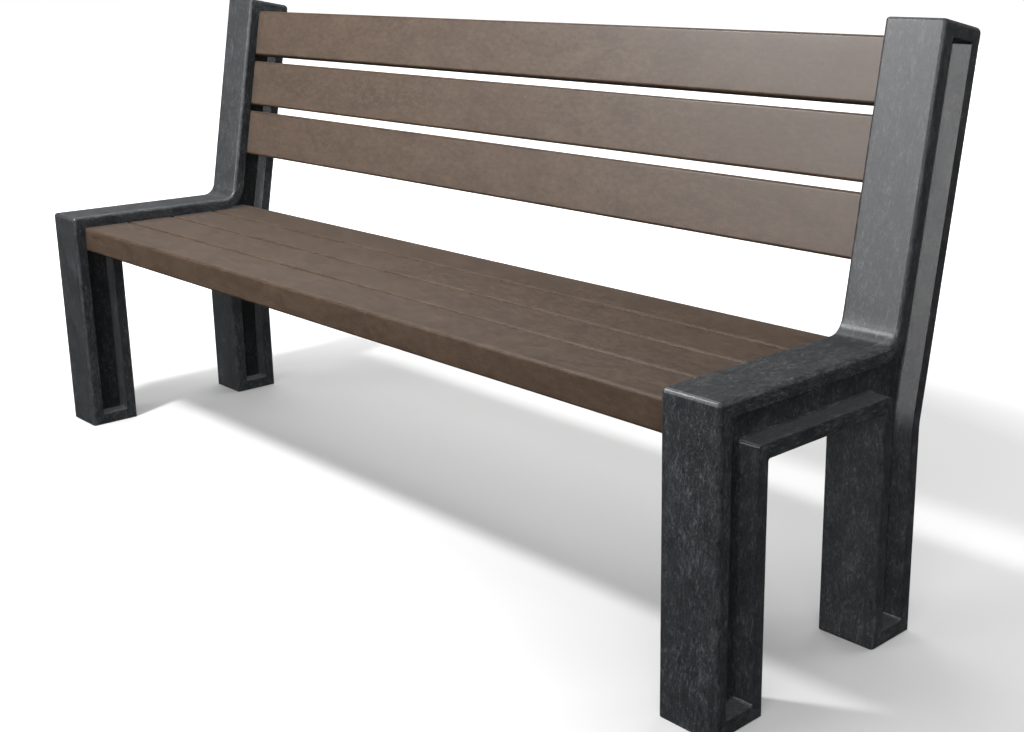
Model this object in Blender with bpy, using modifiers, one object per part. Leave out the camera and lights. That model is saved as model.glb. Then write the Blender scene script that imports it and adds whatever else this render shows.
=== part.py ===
"""Park bench with a backrest: two moulded side frames, four seat planks and three back planks.

Each side frame is one moulding, shaped like a lower-case h, with a flange all round and a deep
recess on both sides of its web. The plank ends stand in the inner recesses and are held by coach
screws with washers: from below through the seat rail, and from behind through the post.
X runs along the bench, Y from front to back, Z up. Units are metres.
"""
import math
from collections import namedtuple

import bmesh
import bpy
from mathutils import Matrix, Vector

# Overall
LENGTH = 1.948                      # over the outer faces of the side frames
SEAT_HEIGHT = 0.450                 # top of the seat planks
BACK_LEAN = math.radians(10.17)     # the post's lean from the vertical
BEND_BELOW_SEAT = 0.113             # from the seat's top down to the bend in the rear edge
POST_LENGTH = 0.5855                # along the post, from the bend to its top

# Side frame
FRAME_WIDTH = 0.1025                # across one side frame, along X
FLANGE = 0.0235                     # thickness of the flange round the profile
RAIL_FLANGE = 0.0247                # thickness of the flange that the seat planks lie on
RECESS_DEPTH = 0.034                # from a side face in to the web
EDGE_ROUND = 0.0065                 # rounding of the frame's long edges
CORNER_EXTRA = 0.0005               # of the armrest's nose and the post's front, over EDGE_ROUND
ELBOW_ROUND = 0.028                 # hollow where the post rises from the armrest
POST_BACK_ROUND = 0.009             # rear top corner of the post
RAIL_END_ROUND = 0.012              # where the recess over the seat rail turns down the rear leg
RECESS_CORNER_ROUND = 0.003         # the recess's other corners

# Planks
PLANK_WIDTH = 0.101
PLANK_THICKNESS = 0.051
PLANK_ROUND = 0.005                 # rounding of a plank's long edges
SEAT_PLANKS = 4
SEAT_GAP = 0.0020                   # between seat planks
BACK_PLANKS = 3
BACK_GAP = 0.0148                   # between back planks
END_PLAY = 0.001                    # from a plank's end to the web
TOP_PLAY = 0.0010                   # from the seat's top to the flange over it
POST_PLAY = 0.0016                  # the post's recess over the plank's thickness

# Where the legs stand under the seat
FRONT_STRIP = 0.0222                # part of the first plank that is behind the front leg
REAR_STRIP = 0.0296                 # part of the last plank that is in front of the rear leg
REAR_PLAY = 0.0052                  # from the last plank to the flange behind it

# Screws
SHANK_RADIUS = 0.0039
SCREW_BITE = 0.026                  # depth of thread in a plank
SCREW_TIP = 0.006
HEAD_RADIUS = 0.0075                # over the corners of the hexagon
HEAD_HEIGHT = 0.0053
WASHER_RADIUS = 0.008
WASHER_THICKNESS = 0.0016
HOLE_OVERRUN = 0.005                # of a hole's cutter, outside the flange that it goes through
SCREW_SPREAD = 0.25                 # of a plank's width, each side of its middle

# Colour, roughness and metallic value
FRAME_PLASTIC = ((0.035, 0.037, 0.041), 0.42, 0)
PLANK_PLASTIC = ((0.165, 0.115, 0.080), 0.50, 0)
STEEL = ((0.62, 0.62, 0.60), 0.30, 1)

GAP = 0.0003                        # between surfaces that touch on the real bench
ARC_STEP = math.radians(12)         # longest step round a filleted corner
ROUND_SIDES = 12                    # sides of a round shank, hole or washer
ROUND_SEGMENTS = 3                  # facets of a rounded edge
FLAT_ANGLE = math.radians(1)        # faces that turn less than this become one
SMOOTH_ANGLE = math.radians(35)     # edges that turn less than this are shaded smooth
MERGE = 0.00001

# Worked out from the sizes above
CORNER_ROUND = EDGE_ROUND + CORNER_EXTRA
ARM_TOP = SEAT_HEIGHT + TOP_PLAY + FLANGE
RAIL_TOP = SEAT_HEIGHT - PLANK_THICKNESS - GAP
RAIL_BOTTOM = RAIL_TOP - RAIL_FLANGE
SEAT_FRONT = FLANGE + GAP
SEAT_PITCH = PLANK_WIDTH + SEAT_GAP
LAST_PLANK_FRONT = SEAT_FRONT + (SEAT_PLANKS - 1) * SEAT_PITCH
SEAT_REAR = LAST_PLANK_FRONT + PLANK_WIDTH
FRONT_LEG_REAR = SEAT_FRONT + PLANK_WIDTH - FRONT_STRIP
REAR_LEG_FRONT = LAST_PLANK_FRONT + REAR_STRIP
REAR_LEG_REAR = SEAT_REAR + REAR_PLAY + FLANGE
POST_DEPTH = 2 * FLANGE + PLANK_THICKNESS + POST_PLAY
FRAME_MIDDLE = (LENGTH - FRAME_WIDTH) / 2
PLANK_LENGTH = LENGTH - 2 * FRAME_WIDTH + 2 * (RECESS_DEPTH - END_PLAY)
SCREW_X = LENGTH / 2 - FRAME_WIDTH + RECESS_DEPTH / 2
SCREW_REACH = FLANGE + SCREW_BITE

POST_UP = Vector((math.sin(BACK_LEAN), math.cos(BACK_LEAN)))
POST_FORWARD = Vector((-math.cos(BACK_LEAN), math.sin(BACK_LEAN)))
BEND = Vector((REAR_LEG_REAR, SEAT_HEIGHT - BEND_BELOW_SEAT))

# A corner of the side frame's outline, with the flange along the side that follows it
Corner = namedtuple("Corner", "point fillet flange recess_fillet")


def clear_scene():
    for old in list(bpy.data.objects):
        bpy.data.objects.remove(old, do_unlink=True)


def new_collection(name):
    collection = bpy.data.collections.new(name)
    bpy.context.scene.collection.children.link(collection)
    return collection


def principled(name, colour, roughness, metallic):
    material = bpy.data.materials.new(name)
    material.use_nodes = True
    shader = material.node_tree.nodes["Principled BSDF"]
    shader.inputs["Base Color"].default_value = (*colour, 1.0)
    shader.inputs["Roughness"].default_value = roughness
    shader.inputs["Metallic"].default_value = metallic
    return material


def on_post(up, forward):
    """Point (y, z) at a length up the post from the bend, and at a depth forward of its rear face."""
    return BEND + POST_UP * up + POST_FORWARD * forward


def frame_corners():
    """Corners of the side frame's outline in (y, z), anticlockwise from the front leg's toe."""
    arm_reach = (ARM_TOP - on_post(0, POST_DEPTH).y) / POST_UP.y
    hollow = ELBOW_ROUND + FLANGE
    recess = RECESS_CORNER_ROUND
    return [
        Corner(Vector((0, 0)), 0, FLANGE, recess),
        Corner(Vector((FRONT_LEG_REAR, 0)), 0, FLANGE, recess),
        Corner(Vector((FRONT_LEG_REAR, RAIL_BOTTOM)), 0, RAIL_FLANGE, recess),
        Corner(Vector((REAR_LEG_FRONT, RAIL_BOTTOM)), 0, FLANGE, RAIL_END_ROUND),
        Corner(Vector((REAR_LEG_FRONT, 0)), 0, FLANGE, recess),
        Corner(Vector((REAR_LEG_REAR, 0)), 0, FLANGE, recess),
        Corner(BEND, 0, FLANGE, 0),
        Corner(on_post(POST_LENGTH, 0), POST_BACK_ROUND, FLANGE, recess),
        Corner(on_post(POST_LENGTH, POST_DEPTH), CORNER_ROUND, FLANGE, recess),
        Corner(on_post(arm_reach, POST_DEPTH), ELBOW_ROUND, FLANGE, hollow),
        Corner(Vector((0, ARM_TOP)), CORNER_ROUND, FLANGE, recess),
    ]


def outline():
    """Points round the side frame."""
    corners = frame_corners()
    return filleted([corner.point for corner in corners], [corner.fillet for corner in corners])


def recess_outline():
    """Points round its recesses: the outline moved in by the flange."""
    corners = frame_corners()
    inner = inset([corner.point for corner in corners], [corner.flange for corner in corners])
    return filleted(inner, [corner.recess_fillet for corner in corners])


def inset(corners, distances):
    """Corners of an anticlockwise outline with the side after each corner moved in by a distance."""
    moved = []
    for i, corner in enumerate(corners):
        arriving = (corner - corners[i - 1]).normalized()
        leaving = (corners[(i + 1) % len(corners)] - corner).normalized()
        turn = arriving.cross(leaving)
        moved.append(corner + (leaving * distances[i - 1] - arriving * distances[i]) / turn)
    return moved


def filleted(corners, radii):
    """Points of a closed outline with an arc at each corner that has a radius."""
    points = []
    for i, (corner, radius) in enumerate(zip(corners, radii)):
        if not radius:
            points.append(corner)
            continue
        arriving = (corner - corners[i - 1]).normalized()
        leaving = (corners[(i + 1) % len(corners)] - corner).normalized()
        turn = math.atan2(arriving.cross(leaving), arriving.dot(leaving))
        start = corner - arriving * radius * math.tan(abs(turn) / 2)
        normal = Vector((-arriving.y, arriving.x)) * math.copysign(radius, turn)
        steps = max(1, math.ceil(abs(turn) / ARC_STEP))
        for step in range(steps + 1):
            spoke = -normal
            spoke.rotate(Matrix.Rotation(turn * step / steps, 2))
            points.append(start + normal + spoke)
    return points


def mesh_object(name, mesh, collection):
    thing = bpy.data.objects.new(name, mesh)
    collection.objects.link(thing)
    return thing


def evaluated_mesh(thing, name):
    depsgraph = bpy.context.evaluated_depsgraph_get()
    mesh = bpy.data.meshes.new_from_object(thing.evaluated_get(depsgraph))
    mesh.name = name
    return mesh


def profile_slab(name, points, thickness, collection):
    """A mesh object: a flat outline in (y, z), extruded along X by a thickness about the origin."""
    curve = bpy.data.curves.new(name, "CURVE")
    curve.dimensions = "2D"
    curve.fill_mode = "BOTH"
    curve.extrude = thickness / 2
    spline = curve.splines.new("POLY")
    spline.points.add(len(points) - 1)
    for target, point in zip(spline.points, points):
        target.co = (point.x, point.y, 0, 1)
    spline.use_cyclic_u = True
    flat = mesh_object(name + "_outline", curve, collection)
    mesh = evaluated_mesh(flat, name)
    bpy.data.objects.remove(flat)
    bm = bmesh.new()
    bm.from_mesh(mesh)
    bmesh.ops.remove_doubles(bm, verts=bm.verts, dist=MERGE)
    bmesh.ops.dissolve_limit(bm, angle_limit=FLAT_ANGLE, verts=bm.verts, edges=bm.edges)
    bm.transform(Matrix.Rotation(math.pi / 2, 4, "Z") @ Matrix.Rotation(math.pi / 2, 4, "X"))
    bmesh.ops.recalc_face_normals(bm, faces=bm.faces)
    bm.to_mesh(mesh)
    bm.free()
    return mesh_object(name, mesh, collection)


def round_edges(thing, radius, chosen):
    """Round the edges that a test on their two end points chooses."""
    bm = bmesh.new()
    bm.from_mesh(thing.data)
    weight = bm.edges.layers.float.new("bevel_weight_edge")
    for edge in bm.edges:
        edge[weight] = float(chosen(edge.verts[0].co, edge.verts[1].co))
    bm.to_mesh(thing.data)
    bm.free()
    bevel = thing.modifiers.new("rounded_edges", "BEVEL")
    bevel.limit_method = "WEIGHT"
    bevel.width = radius
    bevel.segments = ROUND_SEGMENTS


def cut(thing, cutter):
    modifier = thing.modifiers.new("cut_" + cutter.name, "BOOLEAN")
    modifier.operation = "DIFFERENCE"
    modifier.solver = "EXACT"
    modifier.object = cutter


def as_cutter(thing):
    thing.hide_render = True
    thing.display_type = "WIRE"
    return thing


def side_frame(name, side, parts, cutters):
    """One side frame; side is -1 at the left end of the bench and 1 at the right."""
    half = FRAME_WIDTH / 2
    frame = profile_slab(name, outline(), FRAME_WIDTH, parts)
    frame.location.x = side * FRAME_MIDDLE

    def on_side_face_above_floor(a, b):
        return abs(abs(a.x) - half) < MERGE and abs(a.x - b.x) < MERGE and max(a.z, b.z) > MERGE

    round_edges(frame, EDGE_ROUND, on_side_face_above_floor)
    for face, label in ((side, "outer"), (-side, "inner")):
        pocket = profile_slab(f"{name}_{label}_recess", recess_outline(), 2 * RECESS_DEPTH, cutters)
        pocket.location.x = side * FRAME_MIDDLE + face * half
        cut(frame, as_cutter(pocket))
    return frame


def plank(name, location, tilt, parts):
    """A plank centred on a location; tilt turns it about X from lying flat."""
    bm = bmesh.new()
    bmesh.ops.create_cube(bm, size=1)
    bmesh.ops.scale(bm, verts=bm.verts, vec=(PLANK_LENGTH, PLANK_WIDTH, PLANK_THICKNESS))
    mesh = bpy.data.meshes.new(name)
    bm.to_mesh(mesh)
    bm.free()
    board = mesh_object(name, mesh, parts)
    board.location = location
    board.rotation_euler.x = tilt
    round_edges(board, PLANK_ROUND, lambda a, b: abs(a.x - b.x) > MERGE)
    return board


def turned(name, profile, closed, collection):
    """A profile of (radius, height) points, turned about Z."""
    mesh = bpy.data.meshes.new(name)
    links = [(i, i + 1) for i in range(len(profile) - 1)]
    if closed:
        links.append((len(profile) - 1, 0))
    mesh.from_pydata([(radius, 0, height) for radius, height in profile], links, [])
    thing = mesh_object(name, mesh, collection)
    screw = thing.modifiers.new("turn", "SCREW")
    screw.steps = ROUND_SIDES
    screw.render_steps = ROUND_SIDES
    screw.use_merge_vertices = True
    screw.merge_threshold = MERGE
    return thing


def finished(thing, name):
    """The object's evaluated mesh, shaded smooth, in place of the object."""
    mesh = evaluated_mesh(thing, name)
    mesh.shade_smooth()
    mesh.set_sharp_from_angle(angle=SMOOTH_ANGLE)
    bpy.data.objects.remove(thing)
    return mesh


def coach_screw_mesh(collection):
    """Hexagon head up; the origin is on the face that the washer bears on."""
    head_bottom = WASHER_THICKNESS + 2 * GAP
    shank_top = head_bottom + HEAD_HEIGHT / 2
    shank = turned("coach_screw_shank", [
        (0, shank_top), (SHANK_RADIUS, shank_top),
        (SHANK_RADIUS, SCREW_TIP - SCREW_REACH), (0, -SCREW_REACH),
    ], False, collection)
    bm = bmesh.new()
    bmesh.ops.create_cone(bm, cap_ends=True, segments=6, radius1=HEAD_RADIUS, radius2=HEAD_RADIUS,
                          depth=HEAD_HEIGHT)
    bmesh.ops.translate(bm, verts=bm.verts, vec=(0, 0, head_bottom + HEAD_HEIGHT / 2))
    mesh = bpy.data.meshes.new("coach_screw_head")
    bm.to_mesh(mesh)
    bm.free()
    head = mesh_object("coach_screw_head", mesh, collection)
    union = head.modifiers.new("shank", "BOOLEAN")
    union.operation = "UNION"
    union.solver = "EXACT"
    union.object = shank
    screw = finished(head, "coach_screw")
    bpy.data.objects.remove(shank)
    return screw


def washer_mesh(collection):
    """A flat washer just clear of the face at the origin."""
    bore = SHANK_RADIUS + GAP
    ring = turned("washer_ring", [
        (bore, GAP + WASHER_THICKNESS), (WASHER_RADIUS, GAP + WASHER_THICKNESS),
        (WASHER_RADIUS, GAP), (bore, GAP),
    ], True, collection)
    return finished(ring, "washer")


def hole_mesh():
    """The hole for a screw, from outside the flange to past the screw's tip."""
    depth = SCREW_REACH + GAP
    radius = SHANK_RADIUS + GAP
    bm = bmesh.new()
    bmesh.ops.create_cone(bm, cap_ends=True, segments=ROUND_SIDES, radius1=radius, radius2=radius,
                          depth=HOLE_OVERRUN + depth)
    bmesh.ops.translate(bm, verts=bm.verts, vec=(0, 0, (HOLE_OVERRUN - depth) / 2))
    mesh = bpy.data.meshes.new("screw_hole")
    bm.to_mesh(mesh)
    bm.free()
    return mesh


def seat_screw_rows(front):
    """Y of the screws under a seat plank: beside its middle, or one in the part clear of a leg."""
    rear = front + PLANK_WIDTH
    if front < FRONT_LEG_REAR or rear > REAR_LEG_FRONT:
        return [(max(front, FRONT_LEG_REAR) + min(rear, REAR_LEG_FRONT)) / 2]
    middle = front + PLANK_WIDTH / 2
    return [middle - SCREW_SPREAD * PLANK_WIDTH, middle + SCREW_SPREAD * PLANK_WIDTH]


def seat_fixings():
    """Seat planks, each with its screws from below: (name, centre, tilt, screws' (y, z), turn)."""
    rows = []
    for i in range(SEAT_PLANKS):
        front = SEAT_FRONT + i * SEAT_PITCH
        centre = Vector((0, front + PLANK_WIDTH / 2, SEAT_HEIGHT - PLANK_THICKNESS / 2))
        screws = [Vector((y, RAIL_BOTTOM)) for y in seat_screw_rows(front)]
        rows.append((f"seat_plank_{i + 1}", centre, 0, screws, math.pi))
    return rows


def back_fixings():
    """Back planks from the top down, each with its screws from behind, as seat_fixings gives them."""
    rows = []
    spread = SCREW_SPREAD * PLANK_WIDTH
    tilt = math.pi / 2 - BACK_LEAN
    for i in range(BACK_PLANKS):
        up = POST_LENGTH - FLANGE - GAP - PLANK_WIDTH / 2 - i * (PLANK_WIDTH + BACK_GAP)
        middle = on_post(up, FLANGE + GAP + PLANK_THICKNESS / 2)
        screws = [on_post(up + spread, 0), on_post(up - spread, 0)]
        rows.append((f"back_plank_{i + 1}", Vector((0, *middle)), tilt, screws, tilt - math.pi))
    return rows


def place_fixing(mesh, name, spot, turn, collection):
    thing = mesh_object(name, mesh, collection)
    thing.location = spot
    thing.rotation_euler.x = turn
    return thing


def steel_meshes(parts):
    """The coach screw and the washer that every fixing shares."""
    steel = principled("stainless_steel", *STEEL)
    meshes = (coach_screw_mesh(parts), washer_mesh(parts))
    for mesh in meshes:
        mesh.materials.clear()
        mesh.materials.append(steel)
    return meshes


def stand_on_origin(things):
    """Parent them to an empty that puts the middle of the bench's floor print at the origin."""
    origin = bpy.data.objects.new("bench_origin", None)
    bpy.context.scene.collection.objects.link(origin)
    origin.location.y = -max(point.x for point in outline()) / 2
    for thing in things:
        thing.parent = origin


def build():
    clear_scene()
    parts = new_collection("park_bench")
    cutters = new_collection("cutters")

    frame_plastic = principled("anthracite_plastic", *FRAME_PLASTIC)
    frames = {}
    for side, name in ((-1, "left_side_frame"), (1, "right_side_frame")):
        frames[side] = side_frame(name, side, parts, cutters)
        frames[side].data.materials.append(frame_plastic)

    plank_plastic = principled("brown_plastic", *PLANK_PLASTIC)
    screw, washer = steel_meshes(parts)
    hole = hole_mesh()
    for name, centre, tilt, screws, turn in seat_fixings() + back_fixings():
        board = plank(name, centre, tilt, parts)
        board.data.materials.append(plank_plastic)
        for side, end in ((-1, "left"), (1, "right")):
            for number, (y, z) in enumerate(screws, 1):
                tag = f"{name}_{end}_{number}"
                spot = Vector((side * SCREW_X, y, z))
                place_fixing(screw, "screw_" + tag, spot, turn, parts)
                place_fixing(washer, "washer_" + tag, spot, turn, parts)
                cutter = as_cutter(place_fixing(hole, "hole_" + tag, spot, turn, cutters))
                cut(board, cutter)
                cut(frames[side], cutter)
    stand_on_origin(list(parts.objects) + list(cutters.objects))


build()
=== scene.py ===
"""Looks for a park bench: two recycled-plastic side frames, seven brown planks and their steel fixings.

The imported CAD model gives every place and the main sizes. The side frames, planks, screws and
washers are built again with rounded edges, slightly uneven surfaces and procedural materials.
"""
import math
from collections import namedtuple

import bmesh
import bpy
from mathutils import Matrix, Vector, noise


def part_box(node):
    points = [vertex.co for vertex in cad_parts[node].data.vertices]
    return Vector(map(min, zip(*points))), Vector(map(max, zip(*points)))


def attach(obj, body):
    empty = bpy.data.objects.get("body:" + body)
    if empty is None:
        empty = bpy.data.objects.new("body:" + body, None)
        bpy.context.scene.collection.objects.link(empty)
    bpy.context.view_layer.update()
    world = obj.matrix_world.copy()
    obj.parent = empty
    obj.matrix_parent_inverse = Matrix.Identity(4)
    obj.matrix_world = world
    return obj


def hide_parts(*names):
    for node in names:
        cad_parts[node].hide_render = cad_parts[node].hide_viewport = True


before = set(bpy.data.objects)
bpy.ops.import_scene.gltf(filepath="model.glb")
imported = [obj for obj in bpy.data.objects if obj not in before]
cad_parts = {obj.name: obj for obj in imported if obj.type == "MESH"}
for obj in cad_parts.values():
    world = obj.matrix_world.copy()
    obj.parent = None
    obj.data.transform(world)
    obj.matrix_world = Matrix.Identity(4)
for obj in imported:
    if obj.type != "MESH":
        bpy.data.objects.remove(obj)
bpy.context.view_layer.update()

# Clearances, as in the CAD model
GAP = 0.0003                    # between surfaces that touch
END_PLAY = 0.001                # from a plank's end to the web
POST_PLAY = 0.0016              # the post's recess over the plank's thickness

# Side frame
EDGE_ROUND = 0.0065             # its long edges
EDGE_STEPS = 6
FOOT_EDGE = 0.0015              # the edges that stand on the floor
FLANGE_STEPS = 3                # rings across the flat of a flange
WALL_STEPS = 10                 # rings across the frame, and down a recess
MOUTH_ROUND = 0.0007            # where a flange turns into the recess
MOUTH_STEPS = 2
OUTER_FILLET = 0.0040           # where a flange meets the web, in the open recess
INNER_FILLET = 0.0006           # where a flange meets the web, in the recess that holds the planks
FILLET_STEPS = 4
OUTER_DRAFT = 0.0010            # how far the open recess narrows towards the web
NOSE_ROUND = 0.007              # front top corner of the armrest
POST_TOP_BACK_ROUND = 0.009     # rear corner of the post's top
POST_TOP_FRONT_ROUND = 0.005    # front corner of the post's top
ELBOW_ROUND = 0.028             # hollow between armrest and post
BEND_ROUND = 0.120              # hollow in the rear edge, where the post starts to lean
BEND_RECESS_ROUND = 0.250       # the recess corner inside that hollow
FOOT_CORNER = 0.0015            # corners of a leg at the floor
LEG_TOP_CORNER = 0.0020         # corners of the gap between the legs
RECESS_CORNER = 0.0035          # the recess's other corners
RAIL_END_ROUND = 0.012          # recess corner over the rear leg
ARC_STEPS = 7                   # along each rounded corner
SIDE_STEP = 0.012               # along a straight side
FRAME_UNEVEN = 0.00010          # how far the moulded surface strays
FRAME_UNEVEN_SIZE = 0.045       # how broad its waves are
FRAME_SEED = 3.7
FLOOR_CALM = 0.01               # below this height the surface grows even, towards flat feet
MERGE = 0.00002                 # points nearer than this are joined
WEB_GRAIN_SHIFT = 4             # sets the grain of the two frames' webs apart
WIDE_FACE_WEIGHT = 60           # over 50, so that wide faces keep their own normals

# Planks
PLANK_ROUND = 0.005
PLANK_CORNER_STEPS = 5
PLANK_FACE_STEPS = 7            # across a face
PLANK_STEP = 0.018              # along the plank
PLANK_CHAMFER = 0.001           # at its sawn ends
PLANK_UNEVEN = 0.00016
PLANK_UNEVEN_SIZE = 0.060
PLANK_UNEVEN_STRETCH = 0.30     # unevenness is drawn out along the plank
SEAT_SEED = 10
BACK_SEED = 20

# Screws and washers
SCREW_POINTS = 36               # round a screw or washer
SHANK_RADIUS = 0.0039
SCREW_TIP = 0.006
SCREW_POINT_SHARE = 0.05        # radius of the screw's point, over its shank's
HEAD_CHAMFER = math.radians(30)
HEAD_TOP_SHARE = 0.94           # radius of the head's round top, over the hexagon's half width
HEAD_MIDDLE_SHARE = 0.4         # radius of the disc in the middle of that top
WASHER_EDGE = 0.0003
STEEL_SHARP = math.radians(25)  # an edge that turns more than this stays sharp

# Plastic and steel: linear colours, and how often each pattern varies in a metre. A frame's patterns
# run along a limb and across it. The clouds, and all on the planks and fixings, are along X, Y and Z.
PLASTIC_IOR = 1.49
FRAME_DARK = (0.0150, 0.0162, 0.0180, 1)
FRAME_LIGHT = (0.0220, 0.0236, 0.0258, 1)
FRAME_DARK_STREAK = (0.0055, 0.0060, 0.0070, 1)
FRAME_PALE_STREAK = (0.1080, 0.1150, 0.1220, 1)
FRAME_SPECK = (0.1400, 0.1470, 0.1540, 1)
# paler colour on the frame's rounded edges: partly wear, partly a painted highlight
FRAME_WORN_EDGE_AND_HIGHLIGHT = (0.1000, 0.1050, 0.1100, 1)
FRAME_WARP_SCALE = (60, 60, 1)
FRAME_STREAK_SCALE = (110, 340, 1)
FRAME_SPECK_SCALE = (420, 560, 1)
FRAME_PATCH_SCALE = (38, 105, 1)
FRAME_CLOUD_SCALE = (26, 26, 20)
FRAME_SWAY = (0.004, -0.006)    # how far the warp bends the grain along and across a limb
FRAME_STREAK_DEPTH = 0.00035
FRAME_SPECK_DEPTH = 0.00015
FRAME_ROUGHNESS = (0.34, 0.44)
PLANK_DARK = (0.0450, 0.0268, 0.0158, 1)
PLANK_LIGHT = (0.0640, 0.0405, 0.0255, 1)
PLANK_DARK_MOTTLE = (0.0200, 0.0118, 0.0070, 1)
PLANK_PALE_MOTTLE = (0.0950, 0.0690, 0.0500, 1)
PLANK_PALE_GRIT = (0.1150, 0.0840, 0.0620, 1)
PLANK_DARK_GRIT = (0.0170, 0.0100, 0.0060, 1)
PLANK_RUBBED = (0.1050, 0.0760, 0.0540, 1)
PLANK_CLOUD_SCALE = (12, 26, 26)
PLANK_MOTTLE_SCALE = (60, 130, 130)
PLANK_GRIT_SCALE = (380, 620, 620)
PLANK_MOTTLE_DEPTH = 0.0004
PLANK_GRIT_DEPTH = 0.00015
PLANK_ROUGHNESS = (0.38, 0.46)
PLANK_SHINE = (0.50, 0.10)      # specular level of its faces and of its rounded edges, where the lower level is painted shade in the joints between planks
STEEL_DARK = (0.52, 0.52, 0.50, 1)
STEEL_LIGHT = (0.66, 0.66, 0.64, 1)
STEEL_SCRATCH_SCALE = (900, 2600, 900)
STEEL_CLOUD_SCALE = (160, 160, 160)
STEEL_SCRATCH_DEPTH = 0.00005
STEEL_ROUGHNESS = (0.24, 0.38)

# Camera, in the bench's frame
CAMERA_FROM_FRONT = 1.22613     # in front of the front legs
CAMERA_X = 2.01754
CAMERA_HEIGHT = 0.99419
CAMERA_YAW = math.radians(44.872)
CAMERA_PITCH = math.radians(-14.708)
CAMERA_SENSOR = 36.0
CAMERA_LENS = 47.80
CAMERA_SHIFT = (-0.1049, -0.0378)
CAMERA_NEAREST = 0.01

# Light. A panel's turn from the front, height, width and tallness are in degrees.
STUDIO_GREY = 0.17
FLOOR_GREY = 0.030              # below the horizon
HORIZON_FADE = (-0.25, 0.30)    # from the one grey to the other
SOFTBOX_FAR = 14.0
SOFTBOX_AIM = 0.5               # height that the panels face
SOFTBOXES = [                   # name, turn, height, width, tallness, radiance
    ("front_right_wall", 37.5, 22.5, 41, 25, 4.2),
    ("left_ceiling", -112.5, 48.5, 31, 27, 2.8),
    ("ceiling", 0, 90, 50, 50, 1.4),
]
FILLS = [                       # softboxes that leave no reflection
    ("rear_fill", 172, 12, 75, 30, 5.0),
    ("right_fill", 100, 14, 45, 26, 0.6),
]
WINDOWS = [                     # softboxes that the bench's pieces never hide from a reflection
    ("front_window", -22, 13, 16, 24, 10.4),
    ("front_window_left", -37.5, 15, 15, 20, 6.3),
]
WINDOW_BLUR = 0.03              # half the width of its soft edge, at a distance of 1
WINDOW_AHEAD = 0.1              # cosine to its direction from which it shows in full, with no twin behind
WINDOW_DIFFUSE = 0.6            # share of the windows' light in what isn't a reflection
WHITE = (1, 1, 1, 1)
FLOOR_HALF = 40                 # half the side of the square floor
FLOOR_COLOUR = (0.70, 0.70, 0.70, 1)
FLOOR_ROUGHNESS = 0.9
FLOOR_GLOW = 0.03               # near the bench, rising to white further off
FLOOR_FADE = (1.25, 2.3)        # distances from the centre between which it rises
FLOOR_CENTRE = (0.2, -0.1, 0.0)
KEY_PLACE = (-0.55, -1.00, 1.90)
KEY_TARGET = (0, 0, 0.3)
KEY_SIZE = (0.18, 0.18)
KEY_POWER = 44


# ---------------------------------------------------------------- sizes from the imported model

frame_low, frame_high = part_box("left_side_frame")
seat_low, seat_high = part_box("seat_plank_1")
screw_low, screw_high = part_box("screw_seat_plank_1_left_1")
washer_low, washer_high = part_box("washer_seat_plank_1_left_1")
cad_points = [vertex.co.copy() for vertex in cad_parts["left_side_frame"].data.vertices]
foot_lines = [point.y for point in cad_points if point.z < GAP]

WIDTH = frame_high.x - frame_low.x
FRONT = frame_low.y
FLANGE = seat_low.y - GAP - FRONT
RECESS_DEPTH = frame_high.x - seat_low.x + END_PLAY
THICKNESS = seat_high.z - seat_low.z
PLANK_WIDTH = seat_high.y - seat_low.y
RAIL_TOP = seat_low.z - GAP
RAIL_BOTTOM = washer_high.z + GAP
ARM_TOP = max(point.z for point in cad_points if point.y < FRONT + FLANGE)
FRONT_LEG_REAR = max(y for y in foot_lines if y < 0)
REAR_LEG_FRONT = min(y for y in foot_lines if y > 0)
REAR_LEG_REAR = max(foot_lines)


def box_middle(node):
    low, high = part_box(node)
    return (low + high) / 2


top_plank = box_middle("back_plank_1")
low_plank = box_middle("back_plank_3")
LEAN = math.atan2(top_plank.y - low_plank.y, top_plank.z - low_plank.z)
UP = Vector((math.sin(LEAN), math.cos(LEAN)))
FORWARD = Vector((-math.cos(LEAN), math.sin(LEAN)))
POST_REAR = Vector(top_plank.yz) - FORWARD * (THICKNESS / 2 + GAP + FLANGE)
POST_DEPTH = 2 * FLANGE + THICKNESS + POST_PLAY
POST_TOP = POST_REAR + UP * (PLANK_WIDTH / 2 + GAP + FLANGE)
BEND = POST_REAR + UP * ((REAR_LEG_REAR - POST_REAR.x) / UP.x)
ELBOW = POST_REAR + FORWARD * POST_DEPTH
ELBOW += UP * ((ARM_TOP - ELBOW.y) / UP.y)

# A corner of a side frame's outline in (y, z), its fillet outside and in the recess, and the flange's
# thickness and edge round on the side after it.
Corner = namedtuple("Corner", "point fillet recess_fillet flange edge")
# One ring round a side frame: how far it has come in over the edge round and over the flange, as
# shares, how much further in it lies, and its depth from the frame's side.
Ring = namedtuple("Ring", "edge_share flange_share extra depth")


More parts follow.
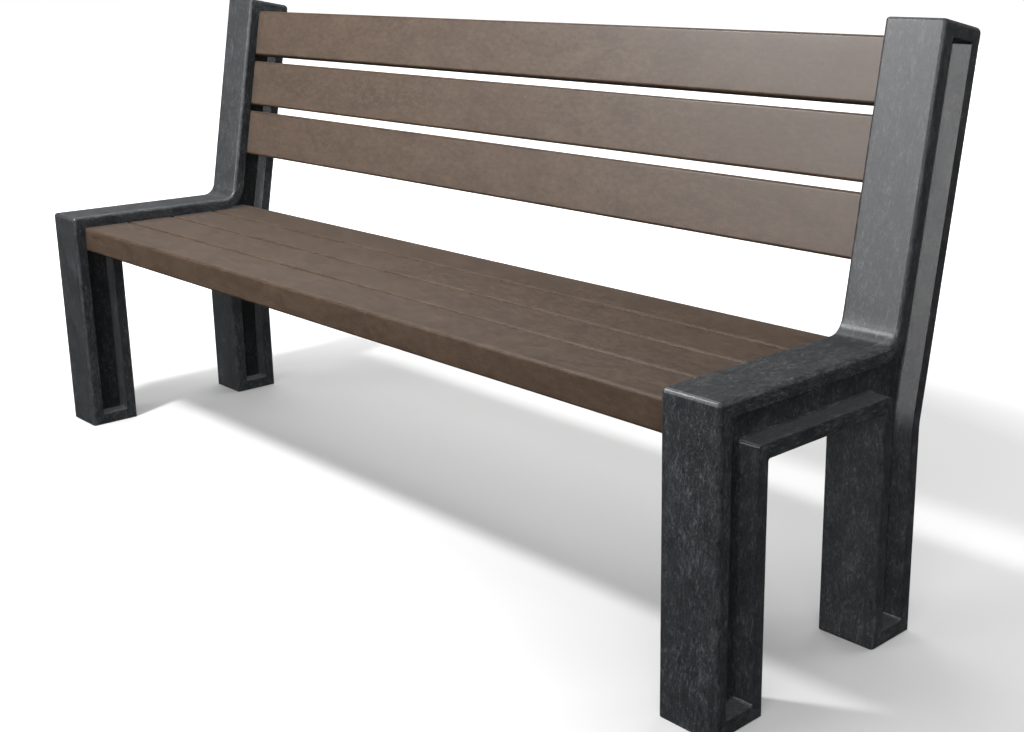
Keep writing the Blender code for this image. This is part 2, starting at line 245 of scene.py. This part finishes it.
def frame_corners():
    """Corners of a side frame, anticlockwise from the front toe."""
    hollow = ELBOW_ROUND + FLANGE
    rail = RAIL_TOP - RAIL_BOTTOM
    post_front_top = POST_TOP + FORWARD * POST_DEPTH
    return [
        Corner(Vector((FRONT, 0)), FOOT_CORNER, RECESS_CORNER, FLANGE, FOOT_EDGE),
        Corner(Vector((FRONT_LEG_REAR, 0)), FOOT_CORNER, RECESS_CORNER, FLANGE, EDGE_ROUND),
        Corner(Vector((FRONT_LEG_REAR, RAIL_BOTTOM)), LEG_TOP_CORNER, RECESS_CORNER, rail, EDGE_ROUND),
        Corner(Vector((REAR_LEG_FRONT, RAIL_BOTTOM)), LEG_TOP_CORNER, RAIL_END_ROUND, FLANGE, EDGE_ROUND),
        Corner(Vector((REAR_LEG_FRONT, 0)), FOOT_CORNER, RECESS_CORNER, FLANGE, FOOT_EDGE),
        Corner(Vector((REAR_LEG_REAR, 0)), FOOT_CORNER, RECESS_CORNER, FLANGE, EDGE_ROUND),
        Corner(BEND, BEND_ROUND, BEND_RECESS_ROUND, FLANGE, EDGE_ROUND),
        Corner(POST_TOP, POST_TOP_BACK_ROUND, RECESS_CORNER, FLANGE, EDGE_ROUND),
        Corner(post_front_top, POST_TOP_FRONT_ROUND, RECESS_CORNER, FLANGE, EDGE_ROUND),
        Corner(ELBOW, ELBOW_ROUND, hollow, FLANGE, EDGE_ROUND),
        Corner(Vector((FRONT, ARM_TOP)), NOSE_ROUND, RECESS_CORNER, FLANGE, EDGE_ROUND),
    ]


def side_rings(draft, fillet):
    """Rings from a frame's outer wall over its rounded edge and flange and down to the web."""
    quarter = math.pi / 2
    rings = []
    for step in range(EDGE_STEPS + 1):
        angle = quarter * step / EDGE_STEPS
        rings.append(Ring(1 - math.cos(angle), 0, 0, EDGE_ROUND * (1 - math.sin(angle))))
    for step in range(1, FLANGE_STEPS):
        rings.append(Ring(1, step / FLANGE_STEPS, 0, 0))
    for step in range(MOUTH_STEPS + 1):
        angle = quarter * step / MOUTH_STEPS
        rings.append(Ring(1, 1, -MOUTH_ROUND * (1 - math.sin(angle)), MOUTH_ROUND * (1 - math.cos(angle))))
    wall_end = RECESS_DEPTH - fillet
    for step in range(1, WALL_STEPS):
        share = step / WALL_STEPS
        rings.append(Ring(1, 1, draft * share, MOUTH_ROUND + (wall_end - MOUTH_ROUND) * share))
    for step in range(FILLET_STEPS + 1):
        angle = quarter * step / FILLET_STEPS
        rings.append(Ring(1, 1, draft + fillet * (1 - math.cos(angle)), wall_end + fillet * math.sin(angle)))
    return rings


def inset_corners(corners, distances):
    """Corners with the side after each one moved in by a distance."""
    moved = []
    for i, corner in enumerate(corners):
        arriving = (corner - corners[i - 1]).normalized()
        leaving = (corners[(i + 1) % len(corners)] - corner).normalized()
        shift = leaving * distances[i - 1] - arriving * distances[i]
        moved.append(corner + shift / arriving.cross(leaving))
    return moved


def ring_points(corners, ring, side_steps):
    """Points (y, z) of one ring, the same number on every ring."""
    distances = []
    for corner in corners:
        flat = corner.flange - corner.edge
        distances.append(corner.edge * ring.edge_share + flat * ring.flange_share + ring.extra)
    places = inset_corners([corner.point for corner in corners], distances)
    arcs = []
    for i, (corner, place) in enumerate(zip(corners, places)):
        arriving = (place - places[i - 1]).normalized()
        leaving = (places[(i + 1) % len(places)] - place).normalized()
        turn = math.atan2(arriving.cross(leaving), arriving.dot(leaving))
        outside = corner.fillet - math.copysign(corner.edge * ring.edge_share, turn)
        inside = corner.recess_fillet - math.copysign(ring.extra, turn)
        radius = max(0, outside + (inside - outside) * ring.flange_share)
        start = place - arriving * radius * math.tan(abs(turn) / 2)
        centre = start + Vector((-arriving.y, arriving.x)) * math.copysign(radius, turn)
        arc = []
        for step in range(ARC_STEPS):
            angle = turn * step / (ARC_STEPS - 1)
            spoke = start - centre
            arc.append(centre + Vector((spoke.x * math.cos(angle) - spoke.y * math.sin(angle),
                                        spoke.x * math.sin(angle) + spoke.y * math.cos(angle))))
        arcs.append(arc)
    points = []
    for i, arc in enumerate(arcs):
        points += arc
        begin, end = arc[-1], arcs[(i + 1) % len(arcs)][0]
        points += [begin.lerp(end, step / side_steps[i]) for step in range(1, side_steps[i])]
    return points


def uneven(bm, amplitude, size, stretch, seed):
    """Move a surface along its normals by smooth noise, leaving what stands on the floor flat."""
    bm.normal_update()
    moved = []
    for vertex in bm.verts:
        place = Vector((vertex.co.x * stretch, vertex.co.y, vertex.co.z)) / size + Vector((seed, seed, seed))
        share = min(1, vertex.co.z / FLOOR_CALM)
        moved.append(vertex.normal * amplitude * share * noise.noise(place))
    for vertex, step in zip(bm.verts, moved):
        vertex.co += step


def skin(bm, rows):
    """Faces between neighbouring rows of points."""
    for near, far in zip(rows, rows[1:]):
        for i in range(len(near)):
            j = (i + 1) % len(near)
            bm.faces.new((near[i], near[j], far[j], far[i]))


def new_object(name, data):
    thing = bpy.data.objects.new(name, data)
    bpy.context.scene.collection.objects.link(thing)
    return thing


def smooth_object(name, bm, material):
    """An object with a smooth-shaded mesh."""
    mesh = bpy.data.meshes.new(name)
    bm.to_mesh(mesh)
    bm.free()
    mesh.shade_smooth()
    mesh.materials.append(material)
    return new_object(name, mesh)


def keep_wide_faces_flat(thing):
    normals = thing.modifiers.new("even_normals", "WEIGHTED_NORMAL")
    normals.weight = WIDE_FACE_WEIGHT


def add_to_bench(thing, node):
    """Let a piece stand for a CAD node. Reflections don't see it, so it hides no window from them."""
    thing.visible_glossy = False
    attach(thing, "root")
    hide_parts(node)


# ---------------------------------------------------------------- side frames

def frame_rings(outer_side):
    """Rings and their sides, from the web of the inner recess, round the outside, to the outer web."""
    inner = [(ring, -outer_side) for ring in reversed(side_rings(0, INNER_FILLET))]
    outer = [(ring, outer_side) for ring in side_rings(OUTER_DRAFT, OUTER_FILLET)]
    wall = []
    for step in range(1, WALL_STEPS):
        depth = EDGE_ROUND + (WIDTH - 2 * EDGE_ROUND) * step / WALL_STEPS
        wall.append((Ring(0, 0, 0, depth), -outer_side))
    return inner + wall + outer


def running_length(outline):
    """Length along a closed outline to each of its points, and back to the first."""
    along = [0.0]
    for i, point in enumerate(outline):
        along.append(along[-1] + (outline[(i + 1) % len(outline)] - point).length)
    return along


def join_rows(bm, rows, along, turned):
    """Faces between neighbouring rows, with the grain running along the outline."""
    grain = bm.loops.layers.uv["grain"]
    count = len(rows[0])
    travelled = 0.0
    for near, far in zip(rows, rows[1:]):
        step = sum((a.co - b.co).length for a, b in zip(near, far)) / count
        for i in range(count):
            j = (i + 1) % count
            around = (near[i], near[j], far[j], far[i])
            face = bm.faces.new(around[::-1] if turned else around)
            for loop in face.loops:
                u = along[i] if loop.vert in (near[i], far[i]) else along[i + 1]
                v = travelled if loop.vert in (near[i], near[j]) else travelled + step
                loop[grain].uv = (u, v)
        travelled += step


def side_frame(name, node, outer_side, material):
    """A side frame lofted from the web of its inner recess, round its outside, to the outer web."""
    middle_x = box_middle(node).x
    corners = frame_corners()
    base = [corner.point for corner in corners]
    side_steps = [max(1, round((base[(i + 1) % len(base)] - point).length / SIDE_STEP))
                  for i, point in enumerate(base)]
    bm = bmesh.new()
    edge_wear_and_painted_light = bm.verts.layers.float.new("edge_wear_and_painted_light")
    rows = []
    for ring, side in frame_rings(outer_side):
        x = middle_x + side * (WIDTH / 2 - ring.depth)
        row = [bm.verts.new((x, point.x, point.y)) for point in ring_points(corners, ring, side_steps)]
        # share of the rounded edge, which sets the frame's paler edge colour: partly wear, partly a painted
        # highlight
        for vertex in row:
            vertex[edge_wear_and_painted_light] = math.sin(math.pi * ring.edge_share)
        rows.append(row)
    grain = bm.loops.layers.uv.new("grain")
    outline = ring_points(corners, Ring(0, 0, 0, 0), side_steps)
    join_rows(bm, rows, running_length(outline), outer_side > 0)
    for row, turned in ((rows[0], outer_side < 0), (rows[-1], outer_side > 0)):
        web = bm.faces.new(row[::-1] if turned else row)
        for loop in web.loops:
            loop[grain].uv = (loop.vert.co.z, loop.vert.co.y + WEB_GRAIN_SHIFT * outer_side)
    bmesh.ops.remove_doubles(bm, verts=bm.verts, dist=MERGE)
    bmesh.ops.recalc_face_normals(bm, faces=bm.faces)
    uneven(bm, FRAME_UNEVEN, FRAME_UNEVEN_SIZE, 1, FRAME_SEED * outer_side)
    thing = smooth_object(name, bm, material)
    keep_wide_faces_flat(thing)
    add_to_bench(thing, node)


# ---------------------------------------------------------------- planks

def rounded_section(width, thickness, radius):
    """Points round a plank's section, about its centre, each with its share of a rounded edge, which sets
    the edge's paler wear and its painted shade.
    """
    section = []
    corners = ((1, 1), (-1, 1), (-1, -1), (1, -1))
    for i, (a, b) in enumerate(corners):
        centre = Vector((a * (width / 2 - radius), b * (thickness / 2 - radius)))
        for step in range(PLANK_CORNER_STEPS + 1):
            angle = math.pi / 2 * (i + step / PLANK_CORNER_STEPS)
            point = centre + radius * Vector((math.cos(angle), math.sin(angle)))
            section.append((point, math.sin(math.pi * step / PLANK_CORNER_STEPS)))
        c, d = corners[(i + 1) % 4]
        angle = math.pi / 2 * (i + 1)
        next_centre = Vector((c * (width / 2 - radius), d * (thickness / 2 - radius)))
        rim = radius * Vector((math.cos(angle), math.sin(angle)))
        for step in range(1, PLANK_FACE_STEPS):
            section.append(((centre + rim).lerp(next_centre + rim, step / PLANK_FACE_STEPS), 0))
    return section


def plank(name, node, tilt, material, seed):
    """A plank with rounded long edges, a slightly uneven surface and sawn ends."""
    low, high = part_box(node)
    middle = (low + high) / 2
    length = high.x - low.x
    steps = round(length / PLANK_STEP)
    full = rounded_section(PLANK_WIDTH, THICKNESS, PLANK_ROUND)
    small = rounded_section(PLANK_WIDTH - 2 * PLANK_CHAMFER, THICKNESS - 2 * PLANK_CHAMFER,
                            PLANK_ROUND - PLANK_CHAMFER)
    stations = [(low.x, small), (low.x + PLANK_CHAMFER, full)]
    stations += [(low.x + length * step / steps, full) for step in range(1, steps)]
    stations += [(high.x - PLANK_CHAMFER, full), (high.x, small)]
    cos, sin = math.cos(tilt), math.sin(tilt)
    bm = bmesh.new()
    edge_wear_and_painted_light = bm.verts.layers.float.new("edge_wear_and_painted_light")
    rows = []
    for x, section in stations:
        row = []
        for p, edge_wear_and_shade in section:
            # the edge share sets a paler worn colour and, as painted shade in the joints, less specular
            vertex = bm.verts.new((x, middle.y + p.x * cos - p.y * sin, middle.z + p.x * sin + p.y * cos))
            vertex[edge_wear_and_painted_light] = edge_wear_and_shade
            row.append(vertex)
        rows.append(row)
    skin(bm, rows)
    bm.faces.new(rows[0])
    bm.faces.new(rows[-1][::-1])
    bmesh.ops.recalc_face_normals(bm, faces=bm.faces)
    uneven(bm, PLANK_UNEVEN, PLANK_UNEVEN_SIZE, PLANK_UNEVEN_STRETCH, seed)
    thing = smooth_object(name, bm, material)
    keep_wide_faces_flat(thing)
    add_to_bench(thing, node)


# ---------------------------------------------------------------- screws and washers

def lathe(bm, rings):
    """Rows of points about Z, from rings that give a radius and height for each angle."""
    rows = []
    for ring in rings:
        row = []
        for i in range(SCREW_POINTS):
            angle = 2 * math.pi * i / SCREW_POINTS
            radius, height = ring(angle)
            row.append(bm.verts.new((radius * math.cos(angle), radius * math.sin(angle), height)))
        rows.append(row)
    return rows


def round_ring(radius, height):
    return lambda angle: (radius, height)


def screw_shape(half_width, under_head, head_top, reach):
    """A coach screw with a chamfered hexagon head, head up, its origin on the frame's surface."""
    def hexagon(angle):
        return half_width / math.cos((angle + math.pi / 6) % (math.pi / 3) - math.pi / 6)

    def chamfered(angle):
        over = hexagon(angle) - half_width * HEAD_TOP_SHARE
        return hexagon(angle), head_top - over * math.tan(HEAD_CHAMFER)

    bm = bmesh.new()
    rows = lathe(bm, [
        round_ring(SHANK_RADIUS * SCREW_POINT_SHARE, -reach),
        round_ring(SHANK_RADIUS, SCREW_TIP - reach),
        round_ring(SHANK_RADIUS, under_head),
        lambda angle: (hexagon(angle), under_head),
        chamfered,
        round_ring(half_width * HEAD_TOP_SHARE, head_top),
        round_ring(half_width * HEAD_MIDDLE_SHARE, head_top),
    ])
    skin(bm, rows)
    bm.faces.new(rows[0][::-1])
    bm.faces.new(rows[-1])
    return bm


def washer_shape(bore, radius, thickness):
    """A flat washer, a gap above the frame's surface, with a rounded upper edge."""
    bm = bmesh.new()
    low, high = GAP, GAP + thickness
    rows = lathe(bm, [
        round_ring(bore, low),
        round_ring(bore, high),
        round_ring(radius - WASHER_EDGE, high),
        round_ring(radius, high - WASHER_EDGE),
        round_ring(radius, low),
    ])
    skin(bm, rows + rows[:1])
    return bm


def place_steel(name, node, shape, spot, outward, material):
    """One screw or washer, standing on a spot with its head towards outward."""
    bmesh.ops.recalc_face_normals(shape, faces=shape.faces)
    shape.transform(outward.to_track_quat("Z", "X").to_matrix().to_4x4())
    bmesh.ops.translate(shape, verts=shape.verts, vec=spot)
    thing = smooth_object(name, shape, material)
    thing.data.set_sharp_from_angle(angle=STEEL_SHARP)
    add_to_bench(thing, node)


def steel_fixings(material):
    """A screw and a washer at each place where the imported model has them."""
    head_height = washer_low.z - GAP - screw_low.z
    washer_thickness = washer_high.z - washer_low.z
    under_head = 2 * GAP + washer_thickness
    reach = screw_high.z - RAIL_BOTTOM
    half_width = (screw_high.x - screw_low.x) / 2
    washer_radius = (washer_high.x - washer_low.x) / 2
    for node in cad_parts:
        if not node.startswith("washer_"):
            continue
        tag = node[len("washer_"):]
        outward = Vector((0, 0, -1)) if tag.startswith("seat") else Vector((0, *(-FORWARD)))
        spot = box_middle(node) - outward * (GAP + washer_thickness / 2)
        screw = screw_shape(half_width, under_head, under_head + head_height, reach)
        washer = washer_shape(SHANK_RADIUS + GAP, washer_radius, washer_thickness)
        place_steel("coach_screw_" + tag, "screw_" + tag, screw, spot, outward, material)
        place_steel("flat_washer_" + tag, node, washer, spot, outward, material)


# ---------------------------------------------------------------- materials

class Nodes:
    """Short ways to add and join the nodes of one tree."""

    def __init__(self, tree):
        self.tree = tree

    def add(self, kind, inputs=None, **settings):
        node = self.tree.nodes.new("ShaderNode" + kind)
        for key, value in settings.items():
            setattr(node, key, value)
        for key, value in (inputs or {}).items():
            self.join(value, node.inputs[key])
        return node

    def join(self, value, socket):
        if isinstance(value, bpy.types.NodeSocket):
            self.tree.links.new(value, socket)
        else:
            socket.default_value = value

    def noise(self, vector, scale, detail, roughness, distortion=0.0, shift=(0, 0, 0)):
        """Noise with its own scale on each axis, from 0 to 1."""
        place = self.add("Mapping", {"Vector": vector, "Scale": scale, "Location": shift})
        noise_inputs = {"Vector": place.outputs["Vector"], "Scale": 1.0, "Detail": detail,
                        "Roughness": roughness, "Distortion": distortion}
        return self.add("TexNoise", noise_inputs).outputs["Fac"]

    def ramp(self, value, start, end, low=0.0, high=1.0):
        """A value that goes from low to high as another goes from start to end."""
        return self.add("MapRange", {"Value": value, "From Min": start, "From Max": end,
                                     "To Min": low, "To Max": high}).outputs["Result"]

    def mix(self, share, a, b):
        """A colour between a and b. Inputs 6 and 7 and output 2 are the node's colours."""
        return self.add("Mix", {"Factor": share, 6: a, 7: b}, data_type="RGBA").outputs[2]

    def maths(self, operation, a, b=0.0):
        return self.add("Math", {0: a, 1: b}, operation=operation).outputs["Value"]

    def dot(self, a, b):
        return self.add("VectorMath", {0: a, 1: b}, operation="DOT_PRODUCT").outputs["Value"]

    def bump(self, height, distance, strength, normal=None):
        node = self.add("Bump", {"Height": height, "Distance": distance, "Strength": strength})
        if normal:
            self.join(normal, node.inputs["Normal"])
        return node.outputs["Normal"]


class MaterialNodes(Nodes):
    """The nodes of one new material."""

    def __init__(self, name):
        self.material = bpy.data.materials.new(name)
        self.material.use_nodes = True
        super().__init__(self.material.node_tree)
        self.shader = self.tree.nodes["Principled BSDF"]


def frame_plastic():
    """Anthracite recycled plastic: fine flecks and flow streaks along each limb of the frame."""
    n = MaterialNodes("anthracite_plastic")
    grain = n.add("UVMap", uv_map="grain").outputs["UV"]
    place = n.add("TexCoord").outputs["Object"]
    warp = n.noise(grain, FRAME_WARP_SCALE, 2.0, 0.5, shift=(8, 1, 0))
    sway = [n.ramp(warp, 0, 1, -reach, reach) for reach in FRAME_SWAY]
    sway = n.add("CombineXYZ", {"X": sway[0], "Y": sway[1]}).outputs["Vector"]
    bent = n.add("VectorMath", {0: grain, 1: sway}, operation="ADD").outputs["Vector"]
    streaks = n.noise(bent, FRAME_STREAK_SCALE, 5.0, 0.70, 0.8)
    fine = n.noise(bent, FRAME_SPECK_SCALE, 4.0, 0.7, 0.6, (3, 7, 0))
    cloud = n.noise(place, FRAME_CLOUD_SCALE, 4.0, 0.6)
    patches = n.noise(bent, FRAME_PATCH_SCALE, 4.0, 0.6, 0.5, (1, 5, 0))
    level = n.maths("ADD", streaks, n.ramp(cloud, 0.3, 0.7, -0.04, 0.04))
    level = n.maths("ADD", level, n.ramp(patches, 0.3, 0.7, -0.085, 0.085))
    pale = n.ramp(level, 0.52, 0.70)
    dark = n.ramp(level, 0.47, 0.32)
    speck = n.ramp(fine, 0.55, 0.72)
    base = n.mix(n.ramp(cloud, 0.3, 0.7), FRAME_DARK, FRAME_LIGHT)
    base = n.mix(n.maths("MULTIPLY", dark, 0.75), base, FRAME_DARK_STREAK)
    base = n.mix(n.maths("MULTIPLY", pale, 0.70), base, FRAME_PALE_STREAK)
    base = n.mix(n.maths("MULTIPLY", speck, 0.50), base, FRAME_SPECK)
    edge_wear_and_painted_light = n.add("Attribute", attribute_name="edge_wear_and_painted_light").outputs["Fac"]
    # Paler rounded edges: partly wear, partly a painted highlight along every edge.
    pale_edge_share = n.maths("MULTIPLY", edge_wear_and_painted_light, n.ramp(patches, 0.35, 0.65, 0.05, 0.45))
    n.join(n.mix(pale_edge_share, base, FRAME_WORN_EDGE_AND_HIGHLIGHT), n.shader.inputs["Base Color"])
    rough = n.ramp(streaks, 0.3, 0.75, *FRAME_ROUGHNESS)
    rough = n.maths("ADD", rough, n.ramp(cloud, 0.3, 0.7, -0.02, 0.03))
    n.join(rough, n.shader.inputs["Roughness"])
    bump = n.bump(streaks, FRAME_STREAK_DEPTH, 0.60)
    n.join(n.bump(fine, FRAME_SPECK_DEPTH, 0.50, bump), n.shader.inputs["Normal"])
    n.join(PLASTIC_IOR, n.shader.inputs["IOR"])
    return n.material


def plank_plastic():
    """Brown recycled plastic: cloudy mottling drawn out along the plank, satin, faintly pitted."""
    n = MaterialNodes("brown_plastic")
    place = n.add("TexCoord").outputs["Object"]
    cloud = n.noise(place, PLANK_CLOUD_SCALE, 4.0, 0.55, 0.4)
    mottle = n.noise(place, PLANK_MOTTLE_SCALE, 4.0, 0.65, 0.3, (5, 2, 1))
    grit = n.noise(place, PLANK_GRIT_SCALE, 3.0, 0.65)
    base = n.mix(n.ramp(cloud, 0.30, 0.70), PLANK_DARK, PLANK_LIGHT)
    base = n.mix(n.maths("MULTIPLY", n.ramp(mottle, 0.50, 0.30), 0.45), base, PLANK_DARK_MOTTLE)
    base = n.mix(n.maths("MULTIPLY", n.ramp(mottle, 0.50, 0.72), 0.45), base, PLANK_PALE_MOTTLE)
    base = n.mix(n.maths("MULTIPLY", n.ramp(grit, 0.50, 0.75), 0.30), base, PLANK_PALE_GRIT)
    base = n.mix(n.maths("MULTIPLY", n.ramp(grit, 0.48, 0.28), 0.35), base, PLANK_DARK_GRIT)
    edge_wear_and_painted_light = n.add("Attribute", attribute_name="edge_wear_and_painted_light").outputs["Fac"]
    pale_edge_share = n.maths("MULTIPLY", edge_wear_and_painted_light, n.ramp(cloud, 0.35, 0.65, 0.0, 0.15))
    n.join(n.mix(pale_edge_share, base, PLANK_RUBBED), n.shader.inputs["Base Color"])
    n.join(n.ramp(mottle, 0.3, 0.7, *PLANK_ROUGHNESS), n.shader.inputs["Roughness"])
    # Less specular on the rounded edges: painted shade, darkening the joints between the planks.
    n.join(n.ramp(edge_wear_and_painted_light, 0.0, 1.0, *PLANK_SHINE), n.shader.inputs["Specular IOR Level"])
    bump = n.bump(mottle, PLANK_MOTTLE_DEPTH, 0.16)
    n.join(n.bump(grit, PLANK_GRIT_DEPTH, 0.22, bump), n.shader.inputs["Normal"])
    n.join(PLASTIC_IOR, n.shader.inputs["IOR"])
    return n.material


def stainless_steel():
    """Brushed steel with fine scratches."""
    n = MaterialNodes("stainless_steel")
    place = n.add("TexCoord").outputs["Object"]
    scratch = n.noise(place, STEEL_SCRATCH_SCALE, 3.0, 0.6)
    cloud = n.noise(place, STEEL_CLOUD_SCALE, 2.0, 0.55)
    n.join(n.mix(n.ramp(cloud, 0.3, 0.7), STEEL_DARK, STEEL_LIGHT), n.shader.inputs["Base Color"])
    n.join(n.ramp(scratch, 0.3, 0.7, *STEEL_ROUGHNESS), n.shader.inputs["Roughness"])
    n.join(n.bump(scratch, STEEL_SCRATCH_DEPTH, 0.3), n.shader.inputs["Normal"])
    n.join(1.0, n.shader.inputs["Metallic"])
    return n.material


# ---------------------------------------------------------------- stage, light and camera

def floor():
    """A pale floor, lit by itself away from the bench so that it runs out to white."""
    bm = bmesh.new()
    bmesh.ops.create_grid(bm, x_segments=1, y_segments=1, size=FLOOR_HALF)
    n = MaterialNodes("pale_floor")
    place = n.add("TexCoord").outputs["Object"]
    from_bench = n.add("VectorMath", {0: place, 1: FLOOR_CENTRE}, operation="DISTANCE").outputs["Value"]
    n.join(n.ramp(from_bench, *FLOOR_FADE, FLOOR_GLOW, 1.0), n.shader.inputs["Emission Strength"])
    n.join(WHITE, n.shader.inputs["Emission Color"])
    n.join(FLOOR_COLOUR, n.shader.inputs["Base Color"])
    n.join(FLOOR_ROUGHNESS, n.shader.inputs["Roughness"])
    n.join(0.0, n.shader.inputs["Specular IOR Level"])
    thing = smooth_object("floor", bm, n.material)
    thing.visible_glossy = False
    thing.visible_diffuse = False


def lamp(name, place, target, size, power):
    light = bpy.data.lights.new(name, "AREA")
    light.shape = "RECTANGLE"
    light.size, light.size_y = size
    light.energy = power
    thing = new_object(name, light)
    thing.location = place
    thing.rotation_euler = (Vector(target) - Vector(place)).to_track_quat("-Z", "Y").to_euler()
    thing.visible_camera = False
    return thing


def softbox_way(turn, height):
    """Unit vector from the bench to a panel at a turn and height in degrees."""
    turn, height = math.radians(turn), math.radians(height)
    level = math.cos(height)
    return Vector((math.sin(turn) * level, -math.cos(turn) * level, math.sin(height)))


def half_spread(angle):
    """Half the size of what takes up an angle in degrees, at a distance of 1."""
    return math.tan(math.radians(angle) / 2)


def softbox(name, turn, height, wide, tall, radiance):
    """A far panel facing the bench, turned from straight in front towards the right."""
    centre = Vector((0, 0, SOFTBOX_AIM))
    size = (2 * SOFTBOX_FAR * half_spread(wide), 2 * SOFTBOX_FAR * half_spread(tall))
    return lamp(name, centre + softbox_way(turn, height) * SOFTBOX_FAR, centre, size,
                math.pi * size[0] * size[1] * radiance)


def window_glow(n, direction, turn, height, wide, tall, radiance):
    """Brightness of one window in the world, by direction, soft at its edges."""
    way = softbox_way(turn, height)
    right = Vector((-way.y, way.x, 0)).normalized()
    up = right.cross(way)
    ahead = n.dot(direction, way)
    glow = n.ramp(ahead, 0.0, WINDOW_AHEAD, 0.0, radiance)
    for side, reach in ((right, half_spread(wide)), (up, half_spread(tall))):
        off = n.maths("ABSOLUTE", n.maths("DIVIDE", n.dot(direction, side), ahead))
        glow = n.maths("MULTIPLY", glow, n.ramp(off, reach + WINDOW_BLUR, reach - WINDOW_BLUR))
    return glow


def world_light():
    """A dim grey studio: white to the camera, with bright windows for reflections."""
    world = bpy.data.worlds.new("studio")
    world.use_nodes = True
    world.cycles.sampling_method = "NONE"
    n = Nodes(world.node_tree)
    direction = n.add("TexCoord").outputs["Generated"]
    ray = n.add("LightPath")
    grey = n.ramp(n.dot(direction, (0, 0, 1)), *HORIZON_FADE, FLOOR_GREY, STUDIO_GREY)
    windows = 0.0
    for window in WINDOWS:
        windows = n.maths("ADD", windows, window_glow(n, direction, *window[1:]))
    glow = n.maths("ADD", n.maths("MULTIPLY", windows, ray.outputs["Is Glossy Ray"]), grey)
    background = world.node_tree.nodes["Background"]
    n.join(WHITE, background.inputs["Color"])
    n.join(n.maths("MAXIMUM", glow, ray.outputs["Is Camera Ray"]), background.inputs["Strength"])
    bpy.context.scene.world = world


def camera():
    lens = bpy.data.cameras.new("camera")
    lens.sensor_width = CAMERA_SENSOR
    lens.lens = CAMERA_LENS
    lens.shift_x, lens.shift_y = CAMERA_SHIFT
    lens.clip_start = CAMERA_NEAREST
    eye = new_object("camera", lens)
    eye.location = (CAMERA_X, FRONT - CAMERA_FROM_FRONT, CAMERA_HEIGHT)
    level = math.cos(CAMERA_PITCH)
    look = Vector((-math.sin(CAMERA_YAW) * level, math.cos(CAMERA_YAW) * level, math.sin(CAMERA_PITCH)))
    eye.rotation_euler = look.to_track_quat("-Z", "Y").to_euler()
    bpy.context.scene.camera = eye


def build():
    camera()
    floor()
    world_light()
    lamp("key", KEY_PLACE, KEY_TARGET, KEY_SIZE, KEY_POWER)
    for box in SOFTBOXES:
        softbox(*box)
    for fill in FILLS:
        softbox(*fill).visible_glossy = False
    for name, turn, height, wide, tall, radiance in WINDOWS:
        softbox(name, turn, height, wide, tall, radiance * WINDOW_DIFFUSE).visible_glossy = False
    bpy.context.scene.view_settings.view_transform = "Standard"

    dark = frame_plastic()
    brown = plank_plastic()
    for side, word in ((-1, "left"), (1, "right")):
        side_frame(word + "_frame_moulding", word + "_side_frame", side, dark)
    for node in sorted(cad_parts):
        if node.startswith("seat_plank_"):
            plank(node + "_board", node, 0, brown, SEAT_SEED + int(node[-1]))
        elif node.startswith("back_plank_"):
            plank(node + "_board", node, math.pi / 2 - LEAN, brown, BACK_SEED + int(node[-1]))
    steel_fixings(stainless_steel())


build()
